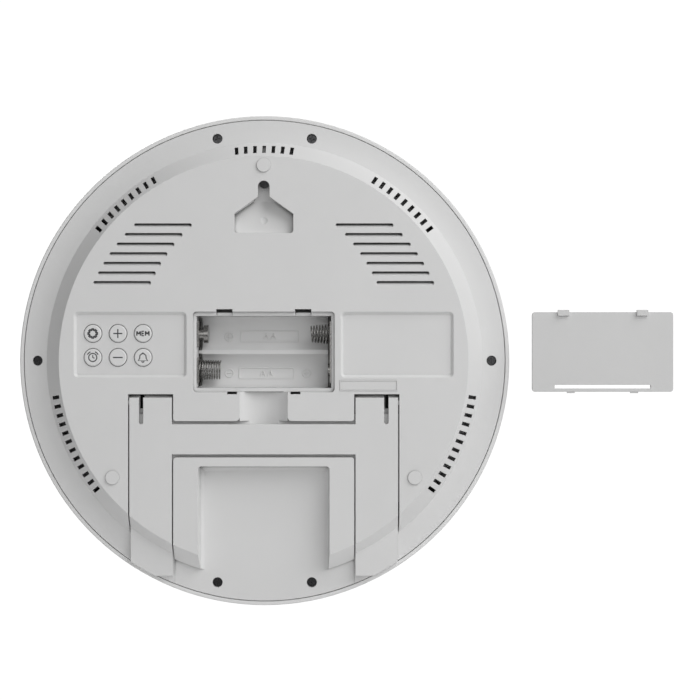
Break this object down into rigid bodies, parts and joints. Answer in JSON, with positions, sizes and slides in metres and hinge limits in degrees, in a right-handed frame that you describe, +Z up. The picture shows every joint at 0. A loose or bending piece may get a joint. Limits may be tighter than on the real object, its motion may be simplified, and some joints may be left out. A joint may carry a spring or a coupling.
{
  "type": "digital wall clock",
  "caption": "Round digital clock for wall or table: display in front; keys, keyhole hanger, folding stand and open battery bay behind, with its cover off to the side.",
  "frame": {"origin": "centre of the keyhole slot's round top end, in the wall plane that the three pads touch", "axes": "+Z up to twelve o'clock as the clock hangs, +Y out of the back into the wall, so the display faces -Y; +X is to the right as seen from the front"},
  "size_m": [0.2984, 0.0281, 0.225],
  "materials": {
    "case_plastic": "fine moulded grain, satin",
    "bezel_plastic": "fine moulded grain, satin",
    "cover_plastic": "fine moulded grain, satin",
    "key_plastic": "smooth with printed legends",
    "clear_lens": "clear polished acrylic",
    "black_tape": "thin adhesive foam",
    "printed_mask": "silver printed film",
    "display_glass": "liquid crystal glass with polariser",
    "white_film": "diffusing film",
    "dark_plastic": "plain moulded",
    "contact_rubber": "layered conductive rubber",
    "circuit_board": "solder mask over copper",
    "black_epoxy": "poured resin",
    "bright_metal": "bright plated",
    "capacitor_sleeve": "shrunk sleeve",
    "dark_steel": "dark plated",
    "spring_steel": "nickel plated",
    "ribbon_film": "flat cable",
    "red_wire": "insulated wire",
    "black_wire": "insulated wire",
    "brass_disc": "brass with a ceramic layer"
  },
  "bodies": {
    "case": {"front_bezel": "bezel_plastic", "lens": "clear_lens", "lens_tape": "black_tape", "display_mask": "printed_mask", "lcd_panel": "display_glass", "lcd_reflector": "white_film", "display_holder": "dark_plastic", "zebra_strip": "contact_rubber", "main_board": "circuit_board", "controller_chip": "black_epoxy", "quartz_crystal": "bright_metal", "board_capacitors": "capacitor_sleeve", "board_screws": "bright_metal", "back_cover": "case_plastic", "case_screws": "dark_steel", "key_board": "circuit_board", "key_switches": "dark_plastic", "key_ribbon": "ribbon_film", "contact_plus": "spring_steel", "contact_minus": "spring_steel", "contact_bridge": "spring_steel", "spring_left": "spring_steel", "spring_right": "spring_steel", "lead_plus": "red_wire", "lead_minus": "black_wire", "buzzer_case": "dark_plastic", "piezo_disc": "brass_disc", "buzzer_leads": "red_wire", "climate_sensor": "circuit_board", "sensor_ribbon": "ribbon_film"},
    "stand": {"stand": "case_plastic"},
    "battery_cover": {"battery_cover": "cover_plastic"},
    "key_settings": {"key_settings": "key_plastic"},
    "key_plus": {"key_plus": "key_plastic"},
    "key_memory": {"key_memory": "key_plastic"},
    "key_alarm_time": {"key_alarm_time": "key_plastic"},
    "key_minus": {"key_minus": "key_plastic"},
    "key_alarm_bell": {"key_alarm_bell": "key_plastic"}
  },
  "joints": [
    {"name": "stand_hinge", "type": "hinge", "parent": "case", "child": "stand", "pos_m": [0, -0.003, -0.0982], "axis": [1, 0, 0], "range_deg": [0, 35]},
    {"name": "battery_cover_turn", "type": "hinge", "parent": "case", "child": "battery_cover", "pos_m": [-0.07695, -0.0017, -0.0752], "axis": [0, 0, -1], "range_deg": [0, 180]},
    {"name": "key_settings_press", "type": "slide", "parent": "case", "child": "key_settings", "axis": [0, -1, 0], "range_m": [0, 0.0008], "stiffness_N_per_m": 600, "springref_m": -0.0005},
    {"name": "key_plus_press", "type": "slide", "parent": "case", "child": "key_plus", "axis": [0, -1, 0], "range_m": [0, 0.0008], "stiffness_N_per_m": 600, "springref_m": -0.0005},
    {"name": "key_memory_press", "type": "slide", "parent": "case", "child": "key_memory", "axis": [0, -1, 0], "range_m": [0, 0.0008], "stiffness_N_per_m": 600, "springref_m": -0.0005},
    {"name": "key_alarm_time_press", "type": "slide", "parent": "case", "child": "key_alarm_time", "axis": [0, -1, 0], "range_m": [0, 0.0008], "stiffness_N_per_m": 600, "springref_m": -0.0005},
    {"name": "key_minus_press", "type": "slide", "parent": "case", "child": "key_minus", "axis": [0, -1, 0], "range_m": [0, 0.0008], "stiffness_N_per_m": 600, "springref_m": -0.0005},
    {"name": "key_alarm_bell_press", "type": "slide", "parent": "case", "child": "key_alarm_bell", "axis": [0, -1, 0], "range_m": [0, 0.0008], "stiffness_N_per_m": 600, "springref_m": -0.0005}
  ]
}
